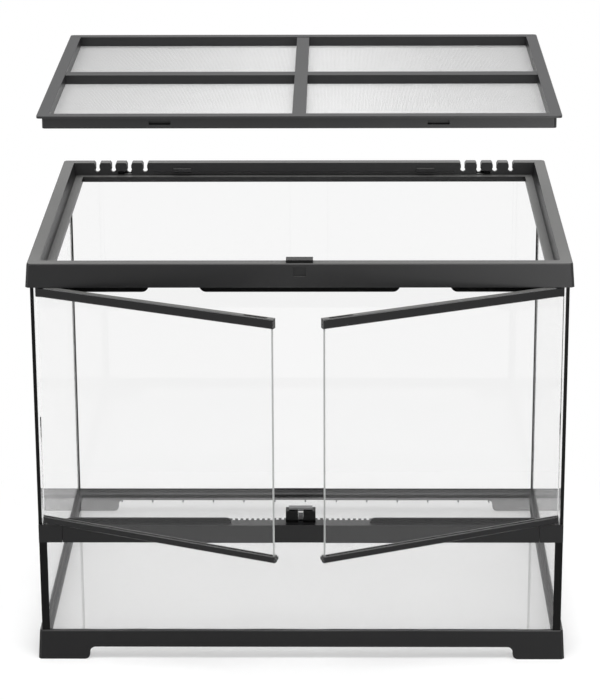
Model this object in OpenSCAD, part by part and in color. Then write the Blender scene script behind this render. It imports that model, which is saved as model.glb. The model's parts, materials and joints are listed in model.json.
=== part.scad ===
// Front-opening glass terrarium with a lift-off screen cover.
// X runs to the right, Y to the back and Z up. The origin is the centre of the
// footprint, on the floor. All sizes are in millimetres.
// The doors stand partly open and the cover is held above its seat.

/* [Glass] */
// Width over the side panes
glass_w = 600; // [420:10:900]
// Depth from the front edges of the side panes to the back pane's rear face
glass_d = 450; // [320:10:600]
// Height of the side panes
glass_h = 450; // [340:10:640]
// Thickness of the side, back and front panes
glass_t = 4; // [3:0.5:5]
// Thickness of the floor pane
floor_t = 5; // [4:0.5:8]
// Width of the silicone joint between two panes
joint_w = 1.5; // [1:0.1:2.5]
// How far the back pane stays below the side panes, for the cable inlets
back_drop = 12; // [11:0.5:16]

/* [Base frame] */
// Height of the base frame over its feet
base_h = 35; // [32:1:50]
// Height of the feet
foot_h = 15; // [8:0.5:17]
// Length of each foot along the frame
foot_len = 60; // [40:1:90]
// Radius of the two arcs that shape the end of a foot
foot_r = 6.5; // [3:0.5:7]
// Height of the floor pane's underside
floor_z = 24; // [22:0.5:26]
// Width of the ledge under the panes
base_ledge = 10; // [8:0.5:16]
// Distance between the stiffening ribs
rib_pitch = 40; // [25:1:80]
// Thickness of a stiffening rib
rib_t = 2; // [1.5:0.25:3]

/* [Frames] */
// Wall of the moulded frames
wall = 2.5; // [2:0.25:3]
// How far a skirt flares out towards its bottom
flare = 2; // [0:0.25:4]
// Clearance between the glass and the frames around it
glass_gap = 0.5; // [0.2:0.1:0.8]
// Bevel on the outer edges of the frames
edge_bevel = 1; // [0.5:0.1:1.5]
// How far the upright corners of the frames are cut back
corner_cut = 3; // [1:0.25:3.5]

/* [Top frame] */
// Height of the top frame's skirt
top_h = 27; // [24:0.5:40]
// Width of the flat rim on top
rim_w = 13.5; // [12:0.5:18]
// Depth of the recess that takes the cover
recess_h = 15; // [14:0.5:18]
// How far each wall of the recess leans in towards its floor
recess_lean = 3; // [0:0.25:4]
// Width of the ledge that carries the cover
top_ledge = 12; // [8:0.5:16]

/* [Cable inlets] */
// Number of inlets on each side
inlet_n = 4; // [2:1:5]
// Distance between two inlets
inlet_pitch = 20; // [17:0.5:26]
// Distance from a side pane's outer face to the nearest inlet
inlet_side = 40; // [38:1:60]
// Width of an inlet's neck
inlet_neck = 5; // [4.5:0.25:6]
// Diameter of an inlet's round bottom
inlet_d = 6.5; // [6:0.25:8]
// Width of an inlet's mouth
inlet_mouth = 8.3; // [8:0.1:10]
// Depth of an inlet below the rim, down to the centre of its round bottom
inlet_depth = 8; // [7:0.25:8.25]
// How much lower an inlet is at the outside than at the inside
inlet_drop = 4; // [0:0.25:4.25]
// Thickness of a sliding shutter
slide_t = 1.8; // [1.4:0.1:2.2]
// Travel of a sliding shutter
slide_travel = 9; // [8:0.5:10]

/* [Cover catches] */
// Distance from the innermost inlet to the middle of the rear hook
hook_gap = 47; // [32:1:60]
// Width of a rear hook
hook_w = 22; // [12:1:26]
// Width of the front latch
latch_w = 30; // [20:1:40]
// Height of the front latch over the rim
latch_h = 3; // [2:0.25:5]
// How far the front latch reaches over the cover
latch_reach = 1.5; // [1:0.25:2]
// Travel of the front latch
latch_travel = 3; // [2.5:0.25:3]

/* [Vent profile] */
// Height of the vent profile's underside
vent_z = 145; // [90:1:170]
// Height of the vent profile
vent_h = 21.5; // [19:0.5:28]
// Depth of the vent profile
vent_d = 22; // [20:0.5:30]
// Length of an end cap along the profile
cap_len = 27; // [22:0.5:40]
// Width of a vent slot
slot_w = 3; // [2:0.25:3.5]
// Distance between two vent slots
slot_pitch = 6.2; // [5.5:0.1:8]
// Depth of a vent slot
slot_d = 5; // [3:0.25:7]

/* [Doors] */
// Thickness of the door panes
door_t = 4; // [3:0.5:5]
// Depth of a door rail
rail_d = 7; // [6.5:0.25:8.5]
// Height of a door's bottom rail
rail_h = 8; // [7:0.5:12]
// Height of a door's top rail
top_rail_h = 11; // [7:0.5:14]
// Bevel along a door rail's front edges
rail_bevel = 1; // [0.4:0.1:1.1]
// Gap between a closed door and what is above and beside it
door_gap = 0.9; // [0.6:0.1:1.5]
// Gap under the doors
door_drop = 1.5; // [0.5:0.1:2.5]
// How far the doors stand open, in degrees
door_open = 24; // [0:1:80]
// Diameter of a hinge pin
pin_d = 4; // [3:0.25:4.5]
// Radial clearance around a hinge pin
pin_fit = 0.05; // [0.02:0.01:0.1]
// How far a hinge pin reaches into its bearing
pin_len = 7; // [5:0.5:9]
// Height of the door stops on the vent profile
stop_h = 5.5; // [4:0.25:6.5]
// Drop of the door stops under the top frame
top_stop_h = 8; // [4:0.25:10]
// Thickness of the door stops
stop_t = 3; // [2:0.25:4]
// Length of the middle stop to each side of the middle
mid_stop = 112; // [70:1:120]
// Length of each upper side stop
side_stop = 109; // [60:1:120]
// Where a bottom stop begins, from the middle
low_stop = 79; // [50:1:100]

/* [Lock] */
// Width of each lock block
block_w = 14; // [11:0.5:18]
// Gap between the lock blocks
block_gap = 6; // [5:0.25:8]
// Height of the lock blocks
block_h = 14; // [13:0.5:18]
// Diameter of the lock's pivot pin
lock_pin_d = 3; // [2:0.25:3.25]

/* [Cover] */
// How far the cover is held above its seat
cover_lift = 164; // [20:1:260]
// Clearance around the cover in its recess
cover_gap = 1.5; // [1:0.1:2.5]
// Width of the cover's flat rim
cover_rim = 13; // [11:0.5:20]
// How far the cover's inner walls lean in towards the mesh
cover_lean = 0.5; // [0:0.25:7]
// Radius of the cover's corners
cover_corner = 4; // [1:0.5:5]
// Thickness of the cover's flat rim
cover_t = 2.5; // [2:0.25:3]
// How far the cover's skirt stands in from its rim
cover_inset = 5.5; // [4:0.25:6]
// Wall of the cover's skirts
cover_wall = 2; // [1.5:0.25:2.5]
// Depth of the mesh below the rim
mesh_depth = 11; // [8:0.5:12]
// Thickness of the mesh
mesh_t = 1; // [0.8:0.1:1.2]
// Openings of the mesh's grid from the middle of the cover to one side
mesh_cols = 6; // [2:1:6]
// Openings of the mesh's grid from the middle of the cover to its front
mesh_rows = 4; // [2:1:6]
// Width of the strips between the grid's openings
mesh_web = 3; // [1:0.5:6]
// Width of the long bar
long_bar_w = 18; // [10:0.5:26]
// Width of the short bars
short_bar_w = 15; // [10:0.5:22]

/* [Hidden] */

$fn = 48;
eps = 0.01;
big = 2000;
touch = 0.3;

black = [0.06, 0.06, 0.06];
dark = [0.16, 0.16, 0.16];
grey = [0.45, 0.45, 0.45];
pale = [0.82, 0.88, 0.86, 0.3];

// Clearances used in several places
slide_gap = 0.4;
hinge_gap = 1.5;
rail_setback = 0.8;

// Frame outlines, at the top edge of their skirts
frame_w = glass_w + 2 * (glass_gap + wall);
frame_d = glass_d + 2 * (glass_gap + wall);
front_y = -frame_d / 2;
pane_front = -glass_d / 2;
pane_back = glass_d / 2;
pane_x = glass_w / 2 - glass_t;
cavity_w = glass_w + 2 * glass_gap;
cavity_d = glass_d + 2 * glass_gap;

// Heights
pane_top = floor_z + glass_h;
glass_top_gap = 1.5;
rim_z = pane_top + glass_top_gap + wall;
skirt_z = rim_z - top_h;
recess_z = rim_z - recess_h;
floor_top = floor_z + floor_t;
seal_w = 5.5;
bead = 2;
strip_t = 1;
strip_lap = 3.5;
vent_top = vent_z + vent_h;

// Recess and opening of the top frame
recess_w = frame_w - 2 * rim_w;
recess_d = frame_d - 2 * rim_w;
opening_w = recess_w - 2 * top_ledge;
opening_d = recess_d - 2 * top_ledge;

beam_back = front_y + rim_w + top_ledge;
ledge_lip = 4;
rib_bite = 0.6;

// Doors
rail_y = front_y + rail_setback + rail_d / 2;
hinge_x = pane_x - hinge_gap - rail_d / 2;
door_len = hinge_x - door_gap;
door_z0 = vent_top + door_drop;
door_z1 = skirt_z - door_gap / 2;
groove_h = 4;
groove_play = 0.1;
pane_setback = 1;
cap_t = 2;
catch_t = 1.6;
catch_l = 3.5;
catch_z = 1.5;
catch_h = 3.5;
finger_l = 28;
finger_w = 3;
finger_end = 6;
stop_y = rail_y + rail_d / 2 + touch;

// Window in the front, and the vent profile that clips over it
window_top = vent_z + 12;
cap_x0 = glass_w / 2 - cap_len;
seam = 0.4;
groove_y0 = pane_front - touch;
groove_y1 = pane_front + glass_t + touch;
vent_back = front_y + vent_d;
vent_lip = 8;
cap_front_t = groove_y0 - 0.7 - front_y;
stop_end = 4;

// Cable inlets
inlet_x1 = glass_w / 2 - inlet_side;
inlet_x0 = inlet_x1 - (inlet_n - 1) * inlet_pitch;
inlet_z = rim_z - inlet_depth;
funnel_h = 3;
slide_y = frame_d / 2 - rim_w + wall + slide_gap;
slide_z0 = pane_top - back_drop + slide_gap;
slide_z1 = rim_z - wall - slide_gap;
tab_w = 8;
tab_h = 2.6;
tab_out = 5;
tab_z = recess_z + 1.6;
slide_mid = (inlet_x0 + inlet_x1) / 2;
slide_half = inlet_x1 - slide_mid + inlet_pitch / 2 - 1;

// Front latch: a plate on the rim, with a stem that runs in a slot
latch_y0 = front_y + latch_travel;
latch_y1 = front_y + rim_w + cover_gap + latch_reach;
latch_z = rim_z + touch;
stem_t = 2;
stem_w = latch_w - 10;
stem_y0 = front_y + wall + latch_travel + 1;
stem_foot = 1;
stem_z = rim_z - wall - touch;
mark_w = 14;
mark_h = 10.5;
mark_t = 0.8;
mark_z = rim_z - 4;

// Rear hooks, over the floor of the recess
hook_x = inlet_x0 - hook_gap;
hook_out = 5.5;
hook_z = 4.5;
hook_t = 4;
line_t = 1;
line_z = recess_z + hook_z - 1.5 * line_t;
line_x = inlet_x0 - inlet_d / 2 - 8;

// Lock
lock_y0 = stop_y + touch;
lock_y1 = vent_back - 1;
lock_x1 = block_gap / 2 + block_w;
block_top = vent_top + block_h;
pivot_y = lock_y0 + 4.8;
pivot_z = block_top - 2.7;
pin_reach = lock_x1 - 3;
base_t = 1.5;
throat = 5;
engrave = 0.6;
ring_d = 7.5;
bar_w = 8;
stem_x = block_gap / 2 - 0.3;
stem_back = pivot_y + 4;
tooth_y = pivot_y - 2;
tooth_z = door_z0 + catch_z + catch_h + 0.8;
pad_x = lock_x1 - 3.5;
pad_z = block_top + 0.8;
pad_t = 2.4;

// Cover
lid_w = recess_w - 2 * cover_gap;
lid_d = recess_d - 2 * cover_gap;
lid_z0 = recess_z + cover_lift;
lid_z1 = lid_z0 + recess_h;
mesh_top = lid_z1 - mesh_depth;
lid_in_w = lid_w - 2 * (cover_rim + cover_lean);
lid_in_d = lid_d - 2 * (cover_rim + cover_lean);
mesh_lap = 2;
slot_room = cover_rim + cover_lean - mesh_lap - cover_inset;
slot_wall = 1.5;
bar_drop = 0.5;
bar_top = lid_z1 - bar_drop;
bar_lean = cover_lean * (bar_top - mesh_top) / mesh_depth;

// A block between two heights, centred on the Z axis
module slab(w, d, z0, z1) {
    translate([-w / 2, -d / 2, z0])
        cube([w, d, z1 - z0]);
}

// A block from one corner to the other
module block(low, high) {
    translate(low)
        cube(high - low);
}

// The outline of a flared skirt, bevelled at its top edge
module flare_outline(w, z0, z1, out) {
    polygon([
        [-w / 2 - out, z0], [w / 2 + out, z0], [w / 2, z1 - edge_bevel],
        [w / 2 - edge_bevel, z1], [-w / 2 + edge_bevel, z1], [-w / 2, z1 - edge_bevel]
    ]);
}

// A flared skirt's outline, extruded along a level direction
module flare_prism(w, z0, z1, out, turn)
    rotate([90, 0, turn])
        linear_extrude(big, center = true)
            flare_outline(w, z0, z1, out);

// A block whose four sides and cut corners lean out towards the bottom
module flared_slab(w, d, z0, z1, out) {
    diagonal = (w + d - 2 * corner_cut) / sqrt(2);
    intersection() {
        flare_prism(w, z0, z1, out, 0);
        flare_prism(d, z0, z1, out, 90);
        flare_prism(diagonal, z0, z1, out * sqrt(2), 45);
        flare_prism(diagonal, z0, z1, out * sqrt(2), -45);
    }
}

// A block whose four sides lean in towards the bottom
module funnel_slab(w, d, z0, z1, lean)
    translate([0, 0, z0])
        intersection() {
            rotate([90, 0, 0])
                linear_extrude(big, center = true)
                    funnel_outline(w, z1 - z0, lean);
            rotate([90, 0, 90])
                linear_extrude(big, center = true)
                    funnel_outline(d, z1 - z0, lean);
        }

// The outline of a leaning recess, carried on over its top edge
module funnel_outline(w, h, lean)
    polygon([
        [-w / 2 + lean, 0], [w / 2 - lean, 0], [w / 2, h], [w / 2, h + 1], [-w / 2, h + 1],
        [-w / 2, h]
    ]);

// The space between two feet, with an S-shaped end at each side
module foot_gap_outline(span) {
    half = span / 2 - foot_len;
    difference() {
        union() {
            translate([-half - foot_r, -1])
                square([2 * half + 2 * foot_r, 1 + foot_r]);
            translate([-half, 0])
                square([2 * half, foot_h - foot_r]);
            translate([-half + foot_r, 0])
                square([2 * half - 2 * foot_r, foot_h]);
            for (side = [-1, 1])
                translate([side * (half - foot_r), foot_h - foot_r])
                    circle(foot_r);
        }
        for (side = [-1, 1])
            translate([side * (half + foot_r), foot_r])
                circle(foot_r);
    }
}

// Ribs on the inside of the base skirt, along the side named by its length
module rib_row(span, depth) {
    count = floor((span / 2 - foot_len) / rib_pitch);
    for (i = [-count : count])
        for (side = [-1, 1])
            translate([i * rib_pitch, side * (depth / 2 - wall - base_ledge / 4), 0])
                slab(rib_t, base_ledge / 2 + rib_bite, foot_h - 1, floor_z - wall + eps);
}

module base_frame() color(dark) {
    inner_w = cavity_w - 2 * base_ledge;
    inner_d = cavity_d - 2 * base_ledge;
    difference() {
        flared_slab(frame_w, frame_d, 0, base_h, flare);
        slab(cavity_w, cavity_d, floor_z, base_h + 1);
        slab(inner_w, inner_d, floor_z - wall - 1, floor_z + 1);
        slab(cavity_w, cavity_d, -1, floor_z - wall);
        rotate([90, 0, 0])
            linear_extrude(big, center = true)
                foot_gap_outline(frame_w + 2 * flare);
        rotate([90, 0, 90])
            linear_extrude(big, center = true)
                foot_gap_outline(frame_d + 2 * flare);
    }
    rib_row(frame_w, frame_d);
    rotate([0, 0, 90])
        rib_row(frame_d, frame_w);
}

// Panes
module floor_glass() color(pale)
    slab(glass_w - 2 * (glass_t + joint_w), glass_d - 2 * (glass_t + joint_w), floor_z, floor_top);

module back_glass() color(pale)
    block([-pane_x + joint_w, pane_back - glass_t, floor_z],
        [pane_x - joint_w, pane_back, pane_top - back_drop]);

module side_glass(side)
    translate([side * (glass_w / 2 - glass_t / 2), 0, 0])
        slab(glass_t, glass_d, floor_z, pane_top);

module left_glass() color(pale)
    side_glass(-1);

module right_glass() color(pale)
    side_glass(1);

module front_window() color(pale)
    block([-pane_x + joint_w, pane_front, floor_z], [pane_x - joint_w, pane_front + glass_t, window_top]);

// Silicone: a fillet round the floor, beads in the rear corners and strips on the front edges
module floor_seal() color(black) {
    half_w = pane_x;
    half_d = glass_d / 2 - glass_t;
    difference() {
        slab(2 * half_w, 2 * half_d, floor_top, base_h);
        slab(2 * (half_w - seal_w), 2 * (half_d - seal_w), floor_top - 1, base_h + 1);
        for (side = [-1, 1])
            on_side(side)
                corner_bead(pane_x + 1, floor_top - 1, base_h + 1);
    }
}

// Draws its child on the right, or mirrored on the left
module on_side(side)
    mirror([side < 0 ? 1 : 0, 0, 0])
        children();

// A bead in the right rear corner, inside the panes
module corner_bead(x1, z0, z1)
    block([pane_x - joint_w - bead, pane_back - glass_t - bead, z0], [x1, pane_back - glass_t, z1]);

module rear_seal(side)
    on_side(side) {
        block([pane_x - joint_w, pane_back - glass_t, floor_z],
            [pane_x, pane_back, pane_top - back_drop]);
        corner_bead(pane_x, floor_top, pane_top - back_drop);
    }

module rear_seal_left() color(black)
    rear_seal(-1);

module rear_seal_right() color(black)
    rear_seal(1);

module front_seal(side)
    on_side(side) {
        block([pane_x, pane_front - strip_t, vent_top], [glass_w / 2, pane_front, skirt_z]);
        block([pane_x - joint_w - strip_lap, pane_front - strip_t, base_h],
            [glass_w / 2, pane_front, vent_z]);
        block([pane_x - joint_w, pane_front, floor_z], [pane_x, pane_front + glass_t, vent_z]);
    }

module front_seal_left() color(black)
    front_seal(-1);

module front_seal_right() color(black)
    front_seal(1);

// One keyhole-shaped cable inlet, seen from the front, with its top at the rim
module inlet_outline(drop) {
    translate([0, inlet_z - drop])
        circle(d = inlet_d);
    translate([-inlet_neck / 2, inlet_z - drop])
        square([inlet_neck, inlet_depth + drop + 1]);
    polygon([
        [-inlet_neck / 2, rim_z - funnel_h], [inlet_neck / 2, rim_z - funnel_h],
        [inlet_mouth / 2, rim_z + eps], [inlet_mouth / 2, rim_z + 1],
        [-inlet_mouth / 2, rim_z + 1], [-inlet_mouth / 2, rim_z + eps]
    ]);
}

// The inlets of one side, from one wall of the rear beam to another
module inlet_row(side, y0, y1, drop)
    for (i = [0 : inlet_n - 1])
        translate([side * (inlet_x0 + i * inlet_pitch), y1, 0])
            rotate([90, 0, 0])
                linear_extrude(y1 - y0)
                    inlet_outline(drop);

// The channel in the top frame that the panes stand in: closed below along the front only
module pane_channel() {
    inner_w = recess_w + 2 * wall;
    inner_d = recess_d + 2 * wall;
    roof = rim_z - wall;
    difference() {
        slab(cavity_w, cavity_d, skirt_z - 1, roof);
        slab(inner_w, inner_d, skirt_z - 2, roof + 1);
        block([-pane_x + joint_w, front_y, skirt_z - 2],
            [pane_x - joint_w, front_y + rim_w, skirt_z + wall]);
        for (side = [-1, 1])
            translate([side * hinge_x, rail_y, skirt_z - 2])
                cylinder(h = pin_len + wall + 2, d = rail_d + 1);
    }
}

module rear_hook(x)
    translate([x, 0, recess_z + hook_z])
        block([-hook_w / 2, recess_d / 2 - hook_out, 0], [hook_w / 2, recess_d / 2 + 1, hook_t]);

// Slot for a shutter's tab, in the rear wall of the recess
module tab_slot(side) {
    x0 = slide_mid - slide_travel - tab_w / 2 - slide_gap;
    x1 = slide_mid + tab_w / 2 + slide_gap;
    on_side(side)
        block([x0, recess_d / 2 - recess_lean - 1, tab_z - slide_gap],
            [x1, recess_d / 2 + wall + 1, tab_z + tab_h + slide_gap]);
}

// The space under the ledge, with a lip round the opening and a closed beam over the doors
module ledge_hollow() {
    low = skirt_z - 1;
    difference() {
        slab(recess_w + 2 * wall + eps, recess_d + 2 * wall + eps, low, recess_z - wall);
        slab(opening_w + 2 * wall, opening_d + 2 * wall, recess_z - wall - ledge_lip, recess_z);
        block([-frame_w, front_y, low - 1], [frame_w, beam_back, skirt_z + wall]);
        block([-frame_w, beam_back - wall, low - 1], [frame_w, beam_back, recess_z]);
    }
}

module top_frame() color(dark) {
    difference() {
        union() {
            difference() {
                flared_slab(frame_w, frame_d, skirt_z, rim_z, flare);
                funnel_slab(recess_w, recess_d, recess_z, rim_z, recess_lean);
                slab(opening_w, opening_d, skirt_z - 1, rim_z + 1);
                pane_channel();
                ledge_hollow();
            }
            rear_hook(hook_x);
            rear_hook(-hook_x);
        }
        for (side = [-1, 1]) {
            inlet_row(side, recess_d / 2 - rim_w, slide_y + slide_t, 0);
            inlet_row(side, slide_y, frame_d / 2 + rim_w, inlet_drop);
            tab_slot(side);
            // bearing of the door's upper pin
            translate([side * hinge_x, rail_y, skirt_z - 1])
                cylinder(h = pin_len + 1.5, d = pin_d + 2 * pin_fit);
        }
        // fine grooves along the recess's rear wall
        for (z = [recess_z, line_z])
            block([-line_x, recess_d / 2 - recess_lean - 1, z],
                [line_x, recess_d / 2 - recess_lean * (rim_z - z) / recess_h + line_t, z + line_t]);
        // slot for the front latch
        block([-stem_w / 2 - touch, stem_y0 - latch_travel - touch, rim_z - wall - 1],
            [stem_w / 2 + touch, stem_y0 + stem_t + touch, rim_z + 1]);
        // shallow moulded field in front of the latch
        block([-mark_w / 2, front_y - flare, mark_z - mark_h], [mark_w / 2, front_y + mark_t, mark_z]);
    }
}

// Shutter for the cable inlets on one side: it slides towards the middle to close them
module cable_slide(side) {
    difference() {
        translate([side * slide_mid, 0, 0]) {
            block([-slide_half, slide_y, slide_z0], [slide_half, slide_y + slide_t, slide_z1]);
            block([-tab_w / 2, recess_d / 2 - tab_out, tab_z], [tab_w / 2, slide_y + 1, tab_z + tab_h]);
        }
        inlet_row(side, recess_d / 2, frame_d / 2, inlet_drop / 2);
    }
}

module cable_slide_left() color(black)
    cable_slide(-1);

module cable_slide_right() color(black)
    cable_slide(1);

// Sliding latch that holds the cover's front edge
module lid_latch() color(black) {
    foot_z = stem_z - 1;
    block([-latch_w / 2, latch_y0, latch_z], [latch_w / 2, latch_y1, latch_z + latch_h]);
    block([-stem_w / 2, stem_y0, foot_z], [stem_w / 2, stem_y0 + stem_t, latch_z + 1]);
    block([-stem_w / 2, stem_y0, foot_z], [stem_w / 2, stem_y0 + stem_t + touch + stem_foot, stem_z]);
}

// Vent profile: it clips over the front window and carries the lock and the lower stops
module vent_section()
    polygon([
        [front_y, vent_z], [front_y, vent_top], [vent_back, vent_top],
        [vent_back, vent_top - vent_lip], [vent_back - wall, vent_top - vent_lip],
        [vent_back - wall, vent_top - wall], [groove_y1 + wall, vent_top - wall],
        [groove_y1 + wall, vent_z], [groove_y1, vent_z], [groove_y1, window_top + touch],
        [groove_y0, window_top + touch], [groove_y0, vent_z]
    ]);

module vent_profile() color(dark) {
    slots = floor((low_stop - lock_x1 - slot_w) / slot_pitch);
    difference() {
        rotate([90, 0, 90])
            linear_extrude(2 * (cap_x0 - seam), center = true)
                vent_section();
        for (i = [0 : slots])
            for (side = [-1, 1])
                translate([side * (low_stop - slot_w / 2 - 1 - i * slot_pitch), 0, vent_top])
                    block([-slot_w / 2, vent_back - slot_d, -vent_lip - 1],
                        [slot_w / 2, vent_back + 1, 1]);
    }
}

module vent_end_cap(side)
    on_side(side)
        difference() {
            union() {
                block([cap_x0, front_y, vent_z], [glass_w / 2, front_y + cap_front_t, vent_top]);
                block([cap_x0, front_y, vent_z], [pane_x - touch, vent_back, vent_top]);
            }
            // groove for the window and its joint
            block([cap_x0 - 1, groove_y0, vent_z - 1], [pane_x + 1, groove_y1, window_top + touch]);
            // hollow behind the window
            block([cap_x0 - 1, groove_y1 + wall, vent_z - 1],
                [pane_x - touch - wall, vent_back - wall, vent_top - wall]);
            // bearing of the door's lower pin
            translate([hinge_x, rail_y, vent_top - pin_len - 1])
                cylinder(h = pin_len + 2, d = pin_d + 2 * pin_fit);
        }

module vent_end_cap_left() color(dark)
    vent_end_cap(-1);

module vent_end_cap_right() color(dark)
    vent_end_cap(1);

// A door stop seen from the front: it hangs from or stands on the line z = 0
module stop_outline(x0, x1, h) {
    union() {
        translate([x0 + h, 0])
            square([x1 - x0 - 2 * h, h]);
        for (x = [x0 + h, x1 - h])
            intersection() {
                translate([x, 0])
                    circle(h);
                translate([x0, 0])
                    square([x1 - x0, h]);
            }
    }
}

module bottom_stop(x0, x1)
    translate([0, stop_y + stop_t, vent_top])
        rotate([90, 0, 0])
            linear_extrude(stop_t)
                stop_outline(x0, x1, stop_h);

module top_stop(x0, x1)
    translate([0, stop_y + stop_t, skirt_z])
        mirror([0, 0, 1])
            rotate([90, 0, 0])
                linear_extrude(stop_t)
                    stop_outline(x0, x1, top_stop_h);

module bottom_stop_left() color(black)
    bottom_stop(-cap_x0 + stop_end, -low_stop);

module bottom_stop_right() color(black)
    bottom_stop(low_stop, cap_x0 - stop_end);

module top_stop_left() color(black)
    top_stop(-cap_x0 - stop_end, -cap_x0 - stop_end + side_stop);

module top_stop_centre() color(black)
    top_stop(-mid_stop, mid_stop);

module top_stop_right() color(black)
    top_stop(cap_x0 + stop_end - side_stop, cap_x0 + stop_end);

// A round bar on the lock's pivot axis
module pivot_bar(length, d)
    translate([0, pivot_y, pivot_z])
        rotate([0, 90, 0])
            cylinder(h = length, d = d, center = true);

// Lock between the doors: two blocks and a sprung lever on a pin
module lock_body() color(black) {
    mid_x = (block_gap + block_w) / 2;
    face = lock_y0 + engrave;
    bar_z = block_top - 3;
    difference() {
        block([-lock_x1, lock_y0, vent_top], [lock_x1, lock_y1, block_top]);
        block([-block_gap / 2, lock_y0 - 1, vent_top + base_t],
            [block_gap / 2, lock_y1 + 1, block_top + 1]);
        // throat for the doors' catches
        block([-block_gap / 2, lock_y0 - 1, vent_top - 1], [block_gap / 2, lock_y0 + throat, block_top]);
        pivot_bar(2 * pin_reach, lock_pin_d);
        // ring on the left block
        translate([-mid_x, lock_y0, (vent_top + block_top) / 2 + 1])
            rotate([90, 0, 0])
                difference() {
                    cylinder(h = 2 * engrave, d = ring_d, center = true);
                    cylinder(h = 3 * engrave, d = ring_d - 3, center = true);
                }
        // two bars on the right block
        block([mid_x - bar_w / 2, lock_y0 - 1, bar_z - 1.5], [mid_x + bar_w / 2, face, bar_z]);
        block([mid_x - 1, lock_y0 - 1, vent_top + 3], [mid_x + 1, face, bar_z]);
    }
}

// The lever hangs on its pin, which snaps in from the front
module lock_lever() color(grey) {
    low = vent_top + base_t + 1;
    difference() {
        union() {
            rotate([90, 0, 90])
                linear_extrude(2 * stem_x, center = true)
                    polygon([
                        [stem_back, low], [stem_back, pad_z + 1], [tooth_y, pad_z + 1],
                        [tooth_y, tooth_z], [pivot_y - 0.2, tooth_z], [pivot_y - 0.2, low]
                    ]);
            block([-pad_x, pivot_y - 2.5, pad_z], [pad_x, pivot_y + 4.5, pad_z + pad_t]);
        }
        pivot_bar(block_gap, lock_pin_d + 2 * pin_fit);
        translate([0, 0, pivot_z - lock_pin_d / 2 - pin_fit])
            block([-block_gap, tooth_y - 1, 0], [block_gap, pivot_y, lock_pin_d + 2 * pin_fit]);
    }
}

module lock_pin() color(grey)
    pivot_bar(2 * pin_reach, lock_pin_d);

// Doors. Each is drawn closed, with its hinge axis on the Z axis and its free end towards +X.
module place_door(side)
    mirror([side > 0 ? 1 : 0, 0, 0])
        translate([-hinge_x, rail_y, 0])
            rotate([0, 0, -door_open])
                children();

module door_pane()
    block([-rail_d / 2 + pane_setback, -door_t / 2, door_z0 + rail_h - groove_h],
        [door_len - cap_t, door_t / 2, door_z1 - top_rail_h + groove_h]);

module door_glass_left() color(pale)
    place_door(-1)
        door_pane();

module door_glass_right() color(pale)
    place_door(1)
        door_pane();

// A rail's outer form between two places along it, bevelled on the front
module rail_bar(x0, x1, h)
    translate([x0, 0, 0])
        rotate([90, 0, 90])
            linear_extrude(x1 - x0)
                polygon([
                    [rail_bevel - rail_d / 2, 0], [rail_d / 2, 0], [rail_d / 2, h],
                    [rail_bevel - rail_d / 2, h], [-rail_d / 2, h - rail_bevel],
                    [-rail_d / 2, rail_bevel]
                ]);

// A rail with its groove towards +Z, standing on the line z = 0
module rail(h) {
    end = door_len - cap_t;
    groove = door_t / 2 + groove_play;
    difference() {
        union() {
            rail_bar(0, end, h);
            cylinder(h = h, d = rail_d);
        }
        block([-rail_d, -groove, h - groove_h], [door_len, groove, h + 1]);
        translate([0, 0, -1])
            cylinder(h = h - groove_h + 1 + eps, d = pin_d);
        // finger slot near the free end
        block([end - finger_end - finger_l, -finger_w / 2, -1], [end - finger_end, finger_w / 2, 1.5]);
    }
}

module bottom_rail()
    translate([0, 0, door_z0])
        rail(rail_h);

module top_rail()
    translate([0, 0, door_z1])
        mirror([0, 0, 1])
            rail(top_rail_h);

module door_bottom_rail_left() color(dark)
    place_door(-1)
        bottom_rail();

module door_bottom_rail_right() color(dark)
    place_door(1)
        bottom_rail();

module door_top_rail_left() color(dark)
    place_door(-1)
        top_rail();

module door_top_rail_right() color(dark)
    place_door(1)
        top_rail();

// The plugs in the rails' free ends: the lower one carries the catch that enters the lock
module end_caps() {
    translate([0, 0, door_z0])
        rail_bar(door_len - cap_t, door_len, rail_h);
    translate([0, 0, door_z1 - top_rail_h])
        rail_bar(door_len - cap_t, door_len, top_rail_h);
    translate([0, 0, door_z0 + catch_z])
        block([door_len - catch_t, rail_d / 2 - eps, 0], [door_len, rail_d / 2 + catch_l, catch_h]);
}

module door_end_caps_left() color(dark)
    place_door(-1)
        end_caps();

module door_end_caps_right() color(dark)
    place_door(1)
        end_caps();

// The pins on the hinge axis: each sits in a rail and turns in its bearing
module pins() {
    low_seat = rail_h - groove_h - touch;
    top_seat = top_rail_h - groove_h - touch;
    translate([0, 0, vent_top - pin_len])
        cylinder(h = pin_len + door_drop + low_seat, d = pin_d);
    translate([0, 0, door_z1 - top_seat])
        cylinder(h = skirt_z + pin_len - door_z1 + top_seat, d = pin_d);
}

module hinge_pins_left() color(grey)
    place_door(-1)
        pins();

module hinge_pins_right() color(grey)
    place_door(1)
        pins();

// A block with rounded corners, centred on the Z axis
module round_slab(w, d, r, z0, z1)
    translate([0, 0, z0])
        linear_extrude(z1 - z0) {
            square([w - 2 * r, d], center = true);
            square([w, d - 2 * r], center = true);
            for (x = [-1, 1])
                for (y = [-1, 1])
                    translate([x * (w / 2 - r), y * (d / 2 - r)])
                        circle(r);
        }

// Blocks on the cover's long sides, level with the rear hooks
module slot_blocks(w, depth, z0, z1)
    for (x = [-hook_x, hook_x])
        for (side = [-1, 1])
            translate([x, side * (lid_d / 2 - cover_inset), 0])
                slab(w, 2 * depth, z0, z1);

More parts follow.
